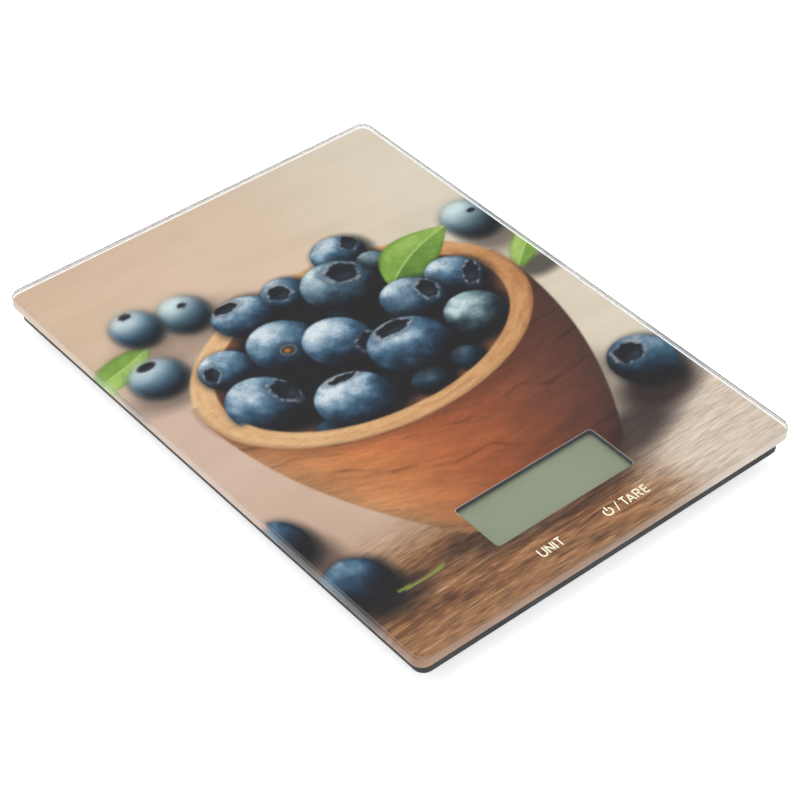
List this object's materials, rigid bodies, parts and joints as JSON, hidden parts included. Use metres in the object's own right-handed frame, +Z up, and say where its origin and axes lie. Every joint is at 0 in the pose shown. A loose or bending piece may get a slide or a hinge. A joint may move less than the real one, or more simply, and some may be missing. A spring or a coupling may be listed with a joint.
{
  "type": "kitchen scale",
  "caption": "Slim digital kitchen scale: rounded printed glass plate on a dark plastic case, display window and touch keys at the front, sprung feet and a hinged battery cover.",
  "frame": {"origin": "on the surface that the scale stands on, under the centre of the glass plate", "axes": "+X right, +Y to the back, away from the display, +Z up"},
  "size_m": [0.145, 0.2, 0.0145],
  "materials": {
    "clear_glass": "polished, clear, slightly green at the edge",
    "printed_film": "printed picture bonded under the glass",
    "foam_tape": "matt foam",
    "case_plastic": "fine moulded texture",
    "frame_plastic": "satin",
    "foot_plastic": "satin",
    "foot_rubber": "matt",
    "label_paper": "satin",
    "screw_steel": "zinc plated",
    "cell_steel": "nickel plated",
    "gasket_plastic": "satin",
    "contact_metal": "nickel plated",
    "wire_red": "satin",
    "wire_black": "satin",
    "wire_mixed": "satin",
    "board": "solder mask",
    "epoxy": "gloss",
    "components": "mixed chip parts",
    "lcd_glass": "polished",
    "lcd_polariser": "satin, grey green",
    "lcd_reflector": "satin foil",
    "zebra_rubber": "matt",
    "key_foam": "matt",
    "load_cell_steel": "brushed",
    "gauge_silicone": "satin"
  },
  "bodies": {
    "case": {"glass_platform": "clear_glass", "decor_film": "printed_film", "glass_tape": "foam_tape", "upper_frame": "frame_plastic", "base_case": "case_plastic", "blank_label": "label_paper", "case_screws": "screw_steel", "cell_can": "cell_steel", "cell_gasket": "gasket_plastic", "cell_cap": "cell_steel", "contact_negative": "contact_metal", "contact_positive": "contact_metal", "battery_lead_red": "wire_red", "battery_lead_black": "wire_black", "main_pcb": "board", "pcb_screws": "screw_steel", "controller_blob": "epoxy", "pcb_components": "components", "lcd_frame": "frame_plastic", "lcd_polariser": "lcd_polariser", "lcd_front_glass": "lcd_glass", "lcd_rear_glass": "lcd_glass", "lcd_reflector": "lcd_reflector", "zebra_strip": "zebra_rubber", "touch_pad_unit": "key_foam", "touch_pad_tare": "key_foam", "load_cell_front_left": "load_cell_steel", "gauge_coating_front_left": "gauge_silicone", "cell_leads_front_left": "wire_mixed", "load_cell_front_right": "load_cell_steel", "gauge_coating_front_right": "gauge_silicone", "cell_leads_front_right": "wire_mixed", "load_cell_rear_left": "load_cell_steel", "gauge_coating_rear_left": "gauge_silicone", "cell_leads_rear_left": "wire_mixed", "load_cell_rear_right": "load_cell_steel", "gauge_coating_rear_right": "gauge_silicone", "cell_leads_rear_right": "wire_mixed"},
    "cover": {"battery_cover": "case_plastic"},
    "foot_unit_front_left": {"foot_front_left": "foot_plastic", "foot_pad_front_left": "foot_rubber"},
    "foot_unit_front_right": {"foot_front_right": "foot_plastic", "foot_pad_front_right": "foot_rubber"},
    "foot_unit_rear_left": {"foot_rear_left": "foot_plastic", "foot_pad_rear_left": "foot_rubber"},
    "foot_unit_rear_right": {"foot_rear_right": "foot_plastic", "foot_pad_rear_right": "foot_rubber"}
  },
  "joints": [
    {"name": "battery_cover_hinge", "type": "hinge", "parent": "case", "child": "cover", "pos_m": [0, 0.0226, 0.0031], "axis": [1, 0, 0], "range_deg": [0, 85]},
    {"name": "load_front_left", "type": "slide", "parent": "case", "child": "foot_unit_front_left", "axis": [0, 0, 1], "range_m": [0, 0.00035]},
    {"name": "load_front_right", "type": "slide", "parent": "case", "child": "foot_unit_front_right", "axis": [0, 0, 1], "range_m": [0, 0.00035]},
    {"name": "load_rear_left", "type": "slide", "parent": "case", "child": "foot_unit_rear_left", "axis": [0, 0, 1], "range_m": [0, 0.00035]},
    {"name": "load_rear_right", "type": "slide", "parent": "case", "child": "foot_unit_rear_right", "axis": [0, 0, 1], "range_m": [0, 0.00035]}
  ]
}
